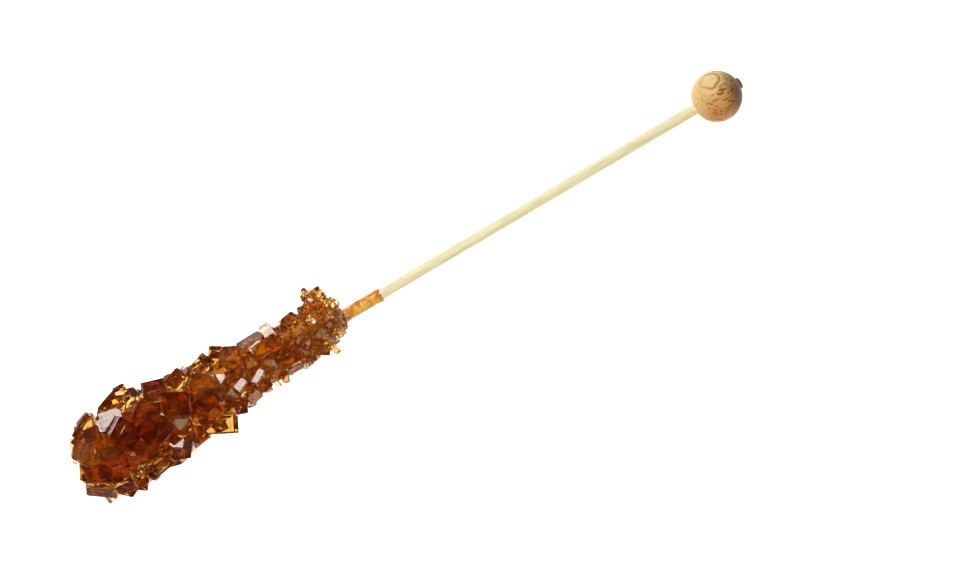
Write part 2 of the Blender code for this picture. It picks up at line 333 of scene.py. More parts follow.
# Film: honey where thin, darker in lumps, at its end and beside the candy. Bumps, here and in the other
# materials, are a strength and a height in metres, and bands along the stick are in metres too.
HONEY = (
    (0.36, srgb(228, 184, 68)),
    (0.47, srgb(216, 158, 50)),
    (0.55, srgb(194, 112, 26)),
    (0.66, srgb(140, 62, 10)),
)
HONEY_FIBRES = srgb(232, 186, 84)
HONEY_AT_END = srgb(196, 112, 26)
HONEY_AT_CANDY = srgb(112, 46, 12)
END_BAND = (0.0018, 0.0002)
CANDY_BAND = (0.0002, 0.0016)
FILM_ROUGHNESS = 0.3
FILM_BUMP = (0.4, 0.00006)

# Birch: its fibres, its streaks, the soaked part inside the candy, and painted shade on the end past the
# ball
BIRCH = (
    (0.3, srgb(212, 205, 166)),
    (0.5, srgb(230, 228, 194)),
    (0.72, srgb(236, 234, 206)),
)
BIRCH_STREAKS = srgb(214, 188, 132)
BIRCH_SOAKED = srgb(180, 100, 35)
# Painted shade on the end of the stick past the ball
BIRCH_NUB_PAINTED_SHADE = srgb(84, 62, 44)
NUB_START = BALL_RADIUS - 0.3
NUB_BLUR = 0.0002
SOAKED_BAND = (0.001, 0.0005)
BIRCH_BUMP = (0.5, 0.00008)

# Wood grain runs along X: how far it is stretched along each axis
ALONG_GRAIN = (0.06, 1, 1)

# Beech, in the stick's frame: the middle of the ring of grain, and its colours outwards over the ring's span
RING_PLACE = Vector((-0.31, 3.26, 4.41))
RING_SPAN = 7.4
RING_WOBBLE = 0.09
RING_COLOURS = (
    (0.0, srgb(232, 208, 150)),
    (0.22, srgb(228, 203, 143)),
    (0.285, srgb(150, 84, 40)),
    (0.34, srgb(226, 200, 138)),
    (0.42, srgb(220, 190, 126)),
    (0.47, srgb(196, 156, 96)),
    (0.52, srgb(220, 186, 122)),
    (0.66, srgb(196, 148, 86)),
    (0.74, srgb(206, 158, 94)),
    (1.0, srgb(180, 126, 66)),
)
BEECH_BANDS = srgb(190, 142, 82)
BEECH_FLECKS = srgb(104, 54, 28)
BEECH_ROUGHNESS = 0.5
BEECH_SPECULAR = 0.25
BEECH_BUMP = (0.35, 0.00008)

# Painted light and painted shade on the ball, in the stick's frame: a paler side of painted light and a
# darker far side of painted shade; for each, direction, start and end of the change, colour
BALL_PAINTED_LIGHT_AND_SHADE = (
    (Vector((-0.857, 0.516, 0.0)), 1.0, 4.6, srgb(210, 182, 128)),
    (Vector((0.954, -0.295, 0.06)), 1.4, 4.4, srgb(62, 36, 22)),
)
# Strongest share of the painted light and painted shade on the ball
PAINTED_SIDE_SHARE = 0.85

# Stage, in metres: window, fill, surroundings, and the floor with the inner and outer edge of its glow
WINDOW_DISTANCE = 0.6
WINDOW_SIZE = 0.32
WINDOW_RADIANCE = 12.0
WINDOW_COLOUR = (1.0, 0.96, 0.91)
FILL_SIZE = 0.4
FILL_RADIANCE = 3.3
FILL_COLOUR = (1.0, 0.84, 0.6)
HORIZON_COLOUR = (0.26, 0.22, 0.18, 1)
ZENITH_COLOUR = (0.03, 0.03, 0.03, 1)
HORIZON_TOP = 0.05
ZENITH_FROM = 0.5
FLOOR_HALF_WIDTH = 1.5
FLOOR_GLOW = 1.1
FLOOR_BRIGHT = 0.13
FLOOR_DIM = 0.24
FLOOR_COLOUR = (0.8, 0.8, 0.8, 1)
FLOOR_ROUGHNESS = 0.8

# Camera, in metres; its lens and sensor are in millimetres
CAMERA_DISTANCE = 0.9
CAMERA_SENSOR = 36.0
CAMERA_LENS = 159.27


def ball_centre():
    """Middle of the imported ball; the flat spot makes its box a little lower than the ball's diameter."""
    low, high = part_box("ball")
    return Vector(((low.x + high.x) / 2, (low.y + high.y) / 2, high.z - BALL_RADIUS * MM))


def stick_frame():
    """The stick's own frame in world space: -X along the stick from the ball's centre to the candy."""
    slope = math.atan2(REST_HEIGHT - (BALL_RADIUS - BALL_FLAT_DEPTH), REST_STATION)
    return Matrix.Translation(ball_centre()) @ Matrix.Rotation(slope, 4, "Y")


def slanted(azimuth, elevation):
    """Unit vector given by its azimuth from -Y, turning towards +X, and its elevation, in degrees."""
    azimuth, elevation = math.radians(azimuth), math.radians(elevation)
    flat = math.cos(elevation)
    return Vector((math.sin(azimuth) * flat, -math.cos(azimuth) * flat, math.sin(elevation)))


STICK_FRAME = stick_frame()
TO_CAMERA = slanted(-31.05, 82.0)
TO_WINDOW = slanted(-155.0, 54.0)
TO_FILL = slanted(20.0, 40.0)
LIGHT_TARGET = Vector((-0.02, 0, 0.01))
VIEW_TARGET = ball_centre() + Vector((-64.41, -11.0, 2.6)) * MM

# Roughly the normal, in the stick's frame, of a face that shows the window to the camera
MIRROR_UP = STICK_FRAME.to_3x3().inverted() @ (TO_CAMERA + TO_WINDOW).normalized()


# ---------------------------------------------------------------- node helpers


class Nodes:
    """Short calls for building one material's node tree."""

    def __init__(self, material):
        material.use_nodes = True
        self.tree = material.node_tree
        self.shader = self.tree.nodes["Principled BSDF"]
        self.output = self.tree.nodes["Material Output"]

    def add(self, kind, **settings):
        node = self.tree.nodes.new(kind)
        for name, value in settings.items():
            setattr(node, name, value)
        return node

    def link(self, source, target):
        self.tree.links.new(source, target)

    def position(self, scale, stretch=(1, 1, 1)):
        """Object coordinates in units of 1/scale metres, stretched along each axis."""
        coords = self.add("ShaderNodeTexCoord")
        mapping = self.add("ShaderNodeMapping")
        mapping.inputs["Scale"].default_value = [scale * s for s in stretch]
        self.link(coords.outputs["Object"], mapping.inputs["Vector"])
        return mapping.outputs["Vector"]

    def noise(self, vector, scale, detail=4.0, roughness=0.5, distortion=0.0):
        node = self.add("ShaderNodeTexNoise")
        node.inputs["Scale"].default_value = scale
        node.inputs["Detail"].default_value = detail
        node.inputs["Roughness"].default_value = roughness
        node.inputs["Distortion"].default_value = distortion
        self.link(vector, node.inputs["Vector"])
        return node.outputs["Fac"]

    def ramp(self, value, stops):
        node = self.add("ShaderNodeValToRGB")
        elements = node.color_ramp.elements
        while len(elements) < len(stops):
            elements.new(0.5)
        for element, (place, colour) in zip(elements, stops):
            element.position = place
            element.color = (*colour, 1.0)
        self.link(value, node.inputs["Fac"])
        return node.outputs["Color"]

    def range(self, value, low, high, to_low, to_high):
        node = self.add("ShaderNodeMapRange")
        node.inputs["From Min"].default_value = low
        node.inputs["From Max"].default_value = high
        node.inputs["To Min"].default_value = to_low
        node.inputs["To Max"].default_value = to_high
        self.link(value, node.inputs["Value"])
        return node.outputs["Result"]

    def mix(self, factor, first, second, blend="MIX"):
        node = self.add("ShaderNodeMix", data_type="RGBA", blend_type=blend)
        for socket, value in ((node.inputs[0], factor), (node.inputs[6], first), (node.inputs[7], second)):
            if isinstance(value, bpy.types.NodeSocket):
                self.link(value, socket)
            elif isinstance(value, (int, float)):
                socket.default_value = value
            else:
                socket.default_value = (*value, 1.0)
        return node.outputs[2]

    def bump(self, height, strength, distance):
        node = self.add("ShaderNodeBump")
        node.inputs["Strength"].default_value = strength
        node.inputs["Distance"].default_value = distance
        self.link(height, node.inputs["Height"])
        self.link(node.outputs["Normal"], self.shader.inputs["Normal"])


# ---------------------------------------------------------------- shapes


def outline_at(station):
    """Radius and sideways offset of the candy's mean outline at a station."""
    if station <= OUTLINE[0][0]:
        return OUTLINE[0][1:]
    for low, high in zip(OUTLINE, OUTLINE[1:]):
        if station <= high[0]:
            share = (station - low[0]) / (high[0] - low[0])
            return tuple(a + share * (b - a) for a, b in zip(low[1:], high[1:]))
    return OUTLINE[-1][1:]


def outward(angle):
    """Unit vector across the stick; angle 0 is straight up and a quarter turn is +Y."""
    return Vector((0, math.sin(angle), math.cos(angle)))


def object_from(bm, name, material, smooth=True):
    """A new object with one material; it uses the mesh up."""
    mesh = bpy.data.meshes.new(name)
    bm.to_mesh(mesh)
    bm.free()
    mesh.materials.append(material)
    if smooth:
        mesh.shade_smooth()
        mesh.set_sharp_from_angle(angle=math.radians(35))
    obj = bpy.data.objects.new(name, mesh)
    bpy.context.scene.collection.objects.link(obj)
    return obj


def shell_from(start):
    """The vertices connected to one vertex, in a steady order."""
    shell = {start: None}
    search = [start]
    while search:
        for edge in search.pop().link_edges:
            for vert in edge.verts:
                if vert not in shell:
                    shell[vert] = None
                    search.append(vert)
    return list(shell)


def largest_shell_only(bm):
    """Deletes the sealed pockets that a union leaves inside."""
    left = dict.fromkeys(bm.verts)
    shells = []
    while left:
        shell = shell_from(next(iter(left)))
        shells.append(shell)
        for vert in shell:
            del left[vert]
    shells.sort(key=len)
    bmesh.ops.delete(bm, geom=[vert for shell in shells[:-1] for vert in shell], context="VERTS")


def crystal_corners(length, width, depth, blunt):
    """Corners of a skewed block with two opposite upright edges cut off: lower ring, then upper ring."""
    rings = []
    for level in (-1, 1):
        skew = MONOCLINIC_SKEW * level * depth / 2
        rings.append(
            [
                (skew - length / 2, (blunt - 0.5) * width, level * depth / 2),
                (skew - (0.5 - blunt) * length, -width / 2, level * depth / 2),
                (skew + length / 2, -width / 2, level * depth / 2),
                (skew + length / 2, (0.5 - blunt) * width, level * depth / 2),
                (skew + (0.5 - blunt) * length, width / 2, level * depth / 2),
                (skew - length / 2, width / 2, level * depth / 2),
            ]
        )
    return rings


def add_crystal(bm, place, size, blunt, bevel=0.0, tint=1.0):
    """Adds one monoclinic sugar crystal to a mesh; a bevel cuts its edges off, and those rims are painted
    darker, as painted shade along the edges.
    """
    single = bmesh.new()
    low, high = [[single.verts.new(Vector(c) * MM) for c in ring] for ring in crystal_corners(*size, blunt)]
    single.faces.new(reversed(low))
    single.faces.new(high)
    for i in range(6):
        j = (i + 1) % 6
        single.faces.new((low[i], low[j], high[j], high[i]))
    painted_shade_rims = set()
    if bevel:
        rounded = bmesh.ops.bevel(
            single,
            geom=single.edges[:],
            offset=bevel * MM,
            offset_type="OFFSET",
            segments=1,
            profile=0.5,
            affect="EDGES",
        )
        painted_shade_rims = set(rounded["faces"])
    layer = bm.faces.layers.float["shade"]
    copies = {vert: bm.verts.new(place @ vert.co) for vert in single.verts}
    for face in single.faces:
        copy = bm.faces.new([copies[vert] for vert in face.verts])
        # Rim faces get the painted shade tint; other faces a random tint
        copy[layer] = tint * (RIM_PAINTED_SHADE_TINT if face in painted_shade_rims else FACE_TINTS.uniform(*FACE_TINT))
    single.free()


def crystal_mesh():
    """An empty mesh whose faces remember the tint of their crystal."""
    bm = bmesh.new()
    bm.faces.layers.float.new("shade")
    return bm


def mirror_up(point):
    """The normal, in the stick's frame, that shows the window to the camera at a point of that frame."""
    place = STICK_FRAME @ (point * MM)
    to_window = (LIGHT_TARGET + TO_WINDOW * WINDOW_DISTANCE - place).normalized()
    to_camera = (VIEW_TARGET + TO_CAMERA * CAMERA_DISTANCE - place).normalized()
    return STICK_FRAME.to_3x3().inverted() @ (to_window + to_camera).normalized()


def leading_crystals(bm):
    """Places each leading crystal with the middle of its top face on the candy's outline, leaning outwards.

    Returns the crystals, each as the way into its own frame and its half length, width and depth.
    """
    tops = []
    rng = random.Random(LEADING_SEED)
    for station, side, length, width, turn, look in LEADING_CRYSTALS:
        depth = LEADING_DEPTH_SHARE * (length + width) + LEADING_DEPTH_EXTRA
        radius, offset = outline_at(station)
        across = abs(side - offset)
        reach = max(radius + LEADING_RISE, across)
        top = Vector((-station, side, math.sqrt(reach**2 - (LEADING_FLATNESS * across) ** 2)))
        lean = LEAN_OUT * math.atan2(side - offset, top.z)
        ahead = TIP_LEAN * max(0.0, station - TIP_LEAN_FROM) / (CANDY_TIP - TIP_LEAN_FROM)
        up = mirror_up(top)
        while look != "mirror" and up.angle(MIRROR_UP) < MIRROR_CLEAR:
            up = outward(lean + rng.gauss(0, LEAN_SPREAD)) + Vector((rng.gauss(-ahead, LEAN_SPREAD), 0, 0))
        jitter = [rng.uniform(-TOP_JITTER, TOP_JITTER) for _ in range(2)]
        up = (up + Vector((*jitter, 0))).normalized()
        tilt = Vector((0, 0, 1)).rotation_difference(up).to_matrix().to_4x4()
        spin = Matrix.Rotation(math.radians(turn), 4, "Z")
        place = Matrix.Translation((top - up * depth / 2) * MM) @ tilt @ spin
        tint = LOOKS[look]
        blunt = rng.uniform(*LEADING_BLUNT)
        add_crystal(bm, place, (length, width, depth), blunt, bevel=LEADING_BEVEL, tint=tint)
        tops.append((place.inverted(), length / 2, width / 2, depth / 2))
        if length * width > TERRACE_AREA:
            share = rng.uniform(*TERRACE_SHARE)
            along = rng.uniform(-TERRACE_STRAY, TERRACE_STRAY) * length
            aside = rng.uniform(-TERRACE_STRAY, TERRACE_STRAY) * width
            step = place @ Matrix.Translation(Vector((along, aside, TERRACE_STEP)) * MM)
            size = (length * share, width * share, depth)
            add_crystal(bm, step, size, blunt, bevel=TERRACE_BEVEL, tint=tint)
    return tops


def over_a_top(point, tops):
    """Whether a point of the stick's frame would break through a leading crystal's top face."""
    for into, half_length, half_width, half_depth in tops:
        spot = into @ (point * MM) / MM
        spot.x -= MONOCLINIC_SKEW * half_depth
        inside = abs(spot.x) < half_length * TOP_CLEAR and abs(spot.y) < half_width * TOP_CLEAR
        if inside and spot.z > half_depth * TOP_DEPTH_CLEAR:
            return True
    return False


def grown_crystal(bm, rng, station, angle, size, reach_share, tint=1.0, tops=()):
    """A crystal rooted in the core that grows outwards at a slant, to a share of the outline's radius.

    It is left out where it would break through one of the leading crystals' top faces, and where its end
    would be a large mirror for the window.
    """
    radius, offset = outline_at(station)
    lean_along = rng.uniform(-LEAN_ALONG, LEAN_ALONG)
    lean_round = rng.uniform(-LEAN_ROUND, LEAN_ROUND)
    axis = (outward(angle + lean_round) + Vector((lean_along, 0, 0))).normalized()
    length = size * rng.uniform(*GROWN_LENGTH)
    centre = Vector((-station, offset, 0)) + outward(angle) * radius * reach_share - axis * length / 2
    turn = Matrix.Rotation(rng.uniform(0, math.tau), 4, "Z")
    place = Matrix.Translation(centre * MM) @ axis.to_track_quat("Z", "X").to_matrix().to_4x4() @ turn
    width = size * rng.uniform(*GROWN_WIDTH)
    blunt = rng.uniform(*SMALL_BLUNT)
    dazzling = size > LARGEST_GLINT and axis.angle(MIRROR_UP) < MIRROR_CLEAR
    if not dazzling and not over_a_top(centre + axis * length / 2, tops):
        add_crystal(bm, place, (size, width, length), blunt, tint=tint)


def loose_grain(bm, rng, middle, size):
    """A small crystal lying any way up at a point of the stick's frame."""
    spin = Euler([rng.uniform(0, math.tau) for _ in range(3)]).to_matrix().to_4x4()
    box = (size * rng.uniform(*LOOSE_LENGTH), size, size * rng.uniform(*LOOSE_DEPTH))
    blunt = rng.uniform(*SMALL_BLUNT)
    add_crystal(bm, Matrix.Translation(middle * MM) @ spin, box, blunt, tint=rng.uniform(*GRAIN_TINT))


def fill_crystals(bm, tops):
    """Crystals all round the core, larger towards the tip and standing out further underneath."""
    rng = random.Random(FILL_SEED)
    golden_angle = math.pi * (3 - math.sqrt(5))
    for i in range(FILL_CRYSTALS):
        share = ((i + 0.5) / FILL_CRYSTALS) ** FILL_CROWDING
        station = CANDY_START + FILL_INSET + share * (CANDY_TIP - CANDY_START - 2 * FILL_INSET)
        angle = i * golden_angle + rng.uniform(-FILL_STRAY, FILL_STRAY)
        under = math.cos(angle) < UNDER_FROM
        size = (SMALLEST_FILL + FILL_GROWTH * share) * rng.uniform(*FILL_SIZES)
        reach_share = rng.uniform(*(UNDER_REACH if under else FILL_REACH))
        grown_crystal(bm, rng, station, angle, size, reach_share, tops=tops)


def collar_grains(bm, tops):
    """Small grains on the face where the stick comes out and on the thin end behind it."""
    rng = random.Random(GRAIN_SEED)
    for _ in range(GRAINS):
        angle = rng.uniform(0, math.tau)
        station = CANDY_START + rng.uniform(0.0, GRAIN_STRETCH)
        size = rng.uniform(*GRAIN_SIZES)
        reach_share = rng.uniform(*GRAIN_REACH)
        grown_crystal(bm, rng, station, angle, size, reach_share, rng.uniform(*GRAIN_TINT), tops)


def small_crystals(bm, tops):
    """Small crystals that fill the clefts between the large ones, all round the candy."""
    rng = random.Random(SMALL_SEED)
    for _ in range(SMALL_CRYSTALS):
        share = rng.random() ** SMALL_CROWDING
        station = CANDY_START + SMALL_INSET + share * (CANDY_TIP - CANDY_START - SMALL_SHORTER)
        size = (SMALLEST_SMALL + SMALL_GROWTH * share) * rng.uniform(*SMALL_SIZES)
        angle = rng.uniform(0, math.tau)
        reach_share = rng.uniform(*SMALL_REACH)
        grown_crystal(bm, rng, station, angle, size, reach_share, rng.uniform(*SMALL_TINT), tops)


def collar_crust(bm, tops):
    """The crust of fine grains round the candy's thin end, over its end face and over the horn beside it."""
    rng = random.Random(CRUST_SEED)
    for _ in range(CRUST_GRAINS):
        station = CANDY_START - CRUST_OVERHANG + CRUST_STRETCH * rng.random() ** CRUST_CROWDING
        angle = rng.uniform(0, math.tau)
        size = rng.uniform(*CRUST_SIZES)
        reach_share = rng.uniform(*CRUST_REACH)
        grown_crystal(bm, rng, station, angle, size, reach_share, rng.uniform(*GRAIN_TINT), tops)
    end_radius, end_offset = OUTLINE[0][1:]
    for _ in range(FACE_GRAINS):
        spread = end_radius + FACE_OVERHANG - STICK_RADIUS_AT_CANDY
        reach = STICK_RADIUS_AT_CANDY + spread * rng.random() ** FACE_CROWDING
        angle = rng.uniform(0, math.tau)
        station = CANDY_START - FACE_START + FACE_SLOPE * reach + rng.uniform(*FACE_STRAY)
        place = Vector((-station, end_offset * reach / 4, 0)) + outward(angle) * reach
        loose_grain(bm, rng, place, rng.uniform(*FACE_SIZES))
    for _ in range(HORN_GRAINS):
        share = rng.random()
        middle = HORN_FOOT.lerp(HORN_TIP, share)
        around = rng.uniform(0, math.tau)
        reach = HORN_RADIUS * (1.0 - HORN_TAPER * share) * rng.uniform(*HORN_REACH)
        place = middle + Vector((math.cos(around), 0, math.sin(around))) * reach
        loose_grain(bm, rng, place, rng.uniform(*HORN_SIZES))


def core_mesh(core_share):
    """The solid middle of the candy, with low lumps."""
    rng = random.Random(FILL_SEED)
    phases = [rng.uniform(0, math.tau) for _ in range(2)]
    bm = bmesh.new()
    rings = []
    for i in range(CORE_RINGS + 1):
        station = CANDY_START + (CANDY_TIP - CORE_TIP_GAP - CANDY_START) * i / CORE_RINGS
        ring = []
        for j in range(CORE_SIDES):
            angle = math.tau * (j + 0.5 * (i % 2)) / CORE_SIDES
            wave = math.sin(CORE_WAVE[0] * angle + CORE_WAVE[1] * station + phases[0])
            ripple = math.sin(CORE_RIPPLE[0] * angle + CORE_RIPPLE[1] * station + phases[1])
            radius, offset = outline_at(station)
            core_radius = radius * core_share + CORE_LUMP * (wave + ripple) / 2
            point = Vector((-station, offset, 0)) + outward(angle) * core_radius
            ring.append(bm.verts.new(point * MM))
        rings.append(ring)
    for ring, after in zip(rings, rings[1:]):
        for j in range(CORE_SIDES):
            k = (j + 1) % CORE_SIDES
            bm.faces.new((ring[j], ring[k], after[k], after[j]))
    bm.faces.new(rings[0])
    bm.faces.new(rings[-1])
    bmesh.ops.recalc_face_normals(bm, faces=bm.faces)
    return bm


def trim_at_floor(bm):
    """Cuts the part of a closed mesh below the floor away and closes the cut."""
    cut = bmesh.ops.bisect_plane(
        bm,
        geom=bm.verts[:] + bm.edges[:] + bm.faces[:],
        plane_co=(0, 0, FLOOR_CLEARANCE * MM),
        plane_no=(0, 0, -1),
        clear_outer=True,
    )
    rim = [item for item in cut["geom_cut"] if isinstance(item, bmesh.types.BMEdge)]
    bmesh.ops.holes_fill(bm, edges=rim)


def joined(core, crystals, name, material):
    """Core and crystals as one closed body without inner walls, each face with its crystal's tint."""
    crystals.faces.index_update()
    guide = BVHTree.FromBMesh(crystals)
    layer = crystals.faces.layers.float["shade"]
    tints = [face[layer] for face in crystals.faces]
    body = object_from(core, name, material, smooth=False)
    helper = object_from(crystals, "crystals", material, smooth=False)
    union = body.modifiers.new("union", "BOOLEAN")
    union.object = helper
    union.operation = "UNION"
    union.solver = "EXACT"
    union.use_self = True
    bpy.context.view_layer.update()
    graph = bpy.context.evaluated_depsgraph_get()
    mesh = bpy.data.meshes.new_from_object(body.evaluated_get(graph))
    body.modifiers.clear()
    bpy.data.objects.remove(helper)
    bm = bmesh.new()
    bm.from_mesh(mesh)
    largest_shell_only(bm)
    bmesh.ops.triangulate(bm, faces=bm.faces)
    spread = bm.loops.layers.float_color.new("tint")
    for face in bm.faces:
        index, distance = guide.find_nearest(face.calc_center_median())[2:]
        tint = tints[index] if distance < TINT_REACH * MM else 1.0
        for loop in face.loops:
            loop[spread] = (tint, tint, tint, 1)
    bm.transform(STICK_FRAME)
    trim_at_floor(bm)
    bmesh.ops.triangulate(bm, faces=bm.faces)
    bm.to_mesh(mesh)
    bm.free()
    body.data = mesh
    return body


def make_candy(material):
    """The clear crystals, grown together with the candy's core."""
    crystals = crystal_mesh()
    tops = leading_crystals(crystals)
    fill_crystals(crystals, tops)
    collar_grains(crystals, tops)
    small_crystals(crystals, tops)
    collar_crust(crystals, tops)
    bmesh.ops.recalc_face_normals(crystals, faces=crystals.faces)
    return joined(core_mesh(CORE_SHARE), crystals, "sugar_crystals", material)


def make_heart(material):
    """The cloudy middle of the candy, grown first round the stick."""
    rng = random.Random(HEART_SEED)
    crystals = crystal_mesh()
    for i in range(HEART_CRYSTALS):
        share = (i + 0.5) / HEART_CRYSTALS
        station = CANDY_START + HEART_INSET + share * (CANDY_TIP - CANDY_START - HEART_SHORTER)
        size = (HEART_SMALLEST + HEART_GROWTH * share) * rng.uniform(*HEART_SIZES)
        thin = (1 - share) ** 2
        reach_share = rng.uniform(*HEART_REACH) + HEART_THIN_RISE * thin
        tint = rng.uniform(*HEART_TINT) + HEART_THIN_LIGHT * thin
        grown_crystal(crystals, rng, station, i * HEART_TURN, size, reach_share, tint)
    for i in range(HEART_HORN_GRAINS):
        place = HORN_FOOT.lerp(HORN_TIP, HEART_HORN_SHARE * i / HEART_HORN_GRAINS)
        stray = Vector([rng.uniform(-HEART_HORN_STRAY, HEART_HORN_STRAY) for _ in range(3)])
        loose_grain(crystals, rng, place + stray, rng.uniform(*HEART_HORN_SIZES))
    bmesh.ops.recalc_face_normals(crystals, faces=crystals.faces)
    return joined(core_mesh(HEART_SHARE), crystals, "sugar_heart", material)


def turned(profile, steps, closed):
    """A mesh of (x, radius) points turned about the X axis; an open profile starts and ends on the axis."""
    bm = bmesh.new()
    verts = [bm.verts.new((x * MM, 0, radius * MM)) for x, radius in profile]
    edges = [bm.edges.new(pair) for pair in zip(verts, verts[1:])]
    if closed:
        edges.append(bm.edges.new((verts[-1], verts[0])))
    bmesh.ops.spin(bm, geom=verts + edges, cent=(0, 0, 0), axis=(1, 0, 0), angle=math.tau, steps=steps)
    bmesh.ops.remove_doubles(bm, verts=bm.verts, dist=WELD * MM)
    bmesh.ops.recalc_face_normals(bm, faces=bm.faces)
    return bm


def make_stick(material):
    """The birch stick, from its end past the ball, thinner towards the candy, to its hidden end in it."""
    near = BALL_RADIUS + STICK_PROUD
    profile = [
        (near, 0.0),
        (near, STICK_RADIUS_AT_BALL - STICK_CHAMFER),
        (near - STICK_CHAMFER, STICK_RADIUS_AT_BALL),
    ]
    for i in range(STICK_RINGS + 1):
        x = -i * CANDY_START / STICK_RINGS
        share = i / STICK_RINGS
        profile.append((x, STICK_RADIUS_AT_BALL + share * (STICK_RADIUS_AT_CANDY - STICK_RADIUS_AT_BALL)))
    profile += [(-STICK_HIDDEN_END, STICK_RADIUS_AT_CANDY), (-STICK_HIDDEN_END, 0.0)]
    bm = turned(profile, STICK_SIDES, closed=False)
    bm.transform(STICK_FRAME)
    return object_from(bm, "birch_stick", material)


def make_ball(material):
    """The beech ball, bored just tighter than the stick and flat where it rests."""
    rim = math.asin((STICK_RADIUS_AT_BALL - BORE_FIT) / BALL_RADIUS)
    arc = [rim + (math.pi - 2 * rim) * i / BALL_RINGS for i in range(BALL_RINGS + 1)]
    profile = [(BALL_RADIUS * math.cos(a), BALL_RADIUS * math.sin(a)) for a in arc]
    bm = turned(profile, BALL_SIDES, closed=True)
    bm.transform(STICK_FRAME)
    trim_at_floor(bm)
    return object_from(bm, "beech_ball", material)


def make_film(material):
    """The thin uneven film of sugar on the wood beside the crystals, a closed sleeve with a ragged end."""
    bm = bmesh.new()
    inner, outer = [], []
    for i in range(FILM_RINGS + 1):
        share = i / FILM_RINGS
        skins = [], []
        for j in range(FILM_SIDES):
            angle = math.tau * j / FILM_SIDES
            across = outward(angle)
            ragged = noise.noise(across * 1.1 + Vector((3, 0, 0))) * 0.9 + noise.noise(across * 3.1) * 0.35
            end = FILM_END + ragged
            station = end + share * (CANDY_START + FILM_INSIDE_CANDY - end)
            taper = (STICK_RADIUS_AT_CANDY - STICK_RADIUS_AT_BALL) * station / CANDY_START
            radius = STICK_RADIUS_AT_BALL + taper
            spot = Vector((station * 0.9, 0, 0)) + across * 1.2
            lumps = 0.6 * noise.noise(spot) + 0.3 * noise.noise(spot * 2.7)
            rim = FILM_RIM * math.exp(-(((station - end - FILM_RIM_WIDTH) / FILM_RIM_WIDTH) ** 2))
            edge = min(1.0, (station - end) / FILM_EDGE_WIDTH)
            thick = FILM_THICKNESS * (1.0 + lumps + rim) * math.sqrt(max(edge, 0.0)) + FILM_THINNEST
            for skin, reach in zip(skins, (radius + FILM_GAP, radius + FILM_GAP + thick)):
                skin.append(bm.verts.new((Vector((-station, 0, 0)) + across * reach) * MM))
        inner.append(skins[0])
        outer.append(skins[1])
    for skin in (inner, outer):
        for ring, after in zip(skin, skin[1:]):
            for j in range(FILM_SIDES):
                bm.faces.new((ring[j], ring[j - 1], after[j - 1], after[j]))
    for low, high in ((inner[0], outer[0]), (inner[-1], outer[-1])):
        for j in range(FILM_SIDES):
            bm.faces.new((low[j], low[j - 1], high[j - 1], high[j]))
    bmesh.ops.recalc_face_normals(bm, faces=bm.faces)
    bm.transform(STICK_FRAME)
    return object_from(bm, "sugar_film", material)


# ---------------------------------------------------------------- materials


def absorb(nodes, absorbed):
    """Fills a material with a clear medium that absorbs red, green and blue at the given rates per metre."""
    density = max(absorbed) * 1.1
    absorption = nodes.add("ShaderNodeVolumeAbsorption")
    absorption.inputs["Color"].default_value = [1 - value / density for value in absorbed] + [1]
    absorption.inputs["Density"].default_value = density
    nodes.link(absorption.outputs["Volume"], nodes.output.inputs["Volume"])


def station_x(station):
    """World X of the stick's axis at a station."""
    return (STICK_FRAME @ Vector((-station * MM, 0, 0))).x


def sugar_material():
    """Clear sugar: a glass surface, tinted crystal by crystal, over plain absorption per metre."""
    material = bpy.data.materials.new("amber_sugar")
    nodes = Nodes(material)
    shader = nodes.shader
    tint = nodes.add("ShaderNodeVertexColor", layer_name="tint")
    colour = nodes.ramp(tint.outputs["Color"], TINTS)
    veils = nodes.noise(nodes.position(PER_MM), 0.35, detail=3, distortion=0.6)
    colour = nodes.mix(nodes.range(veils, 0.45, 0.7, 0.0, VEIL_SHARE), colour, VEIL, blend="MULTIPLY")
    nodes.link(colour, shader.inputs["Base Color"])
    shader.inputs["Transmission Weight"].default_value = 1.0
    shader.inputs["IOR"].default_value = SUGAR_IOR
    fine = nodes.noise(nodes.position(PER_MM), 0.9, detail=3)
    nodes.link(nodes.range(fine, 0.35, 0.7, *SUGAR_ROUGHNESS), shader.inputs["Roughness"])
    waves = nodes.noise(nodes.position(PER_MM), 0.3, detail=1)
    nodes.bump(waves, *SUGAR_BUMP)
    absorb(nodes, SUGAR_ABSORPTION)
    return material


def cloudy_material():
    """The milky brown middle of the candy, seen through the clear crystals."""
    material = bpy.data.materials.new("cloudy_sugar")
    nodes = Nodes(material)
    shader = nodes.shader
    tint = nodes.add("ShaderNodeVertexColor", layer_name="tint")
    nodes.link(nodes.ramp(tint.outputs["Color"], HEART_COLOURS), shader.inputs["Base Color"])
    shader.inputs["Roughness"].default_value = HEART_ROUGHNESS
    shader.inputs["Transmission Weight"].default_value = HEART_TRANSMISSION
    shader.inputs["IOR"].default_value = HEART_IOR
    absorb(nodes, HEART_ABSORPTION)
    return material


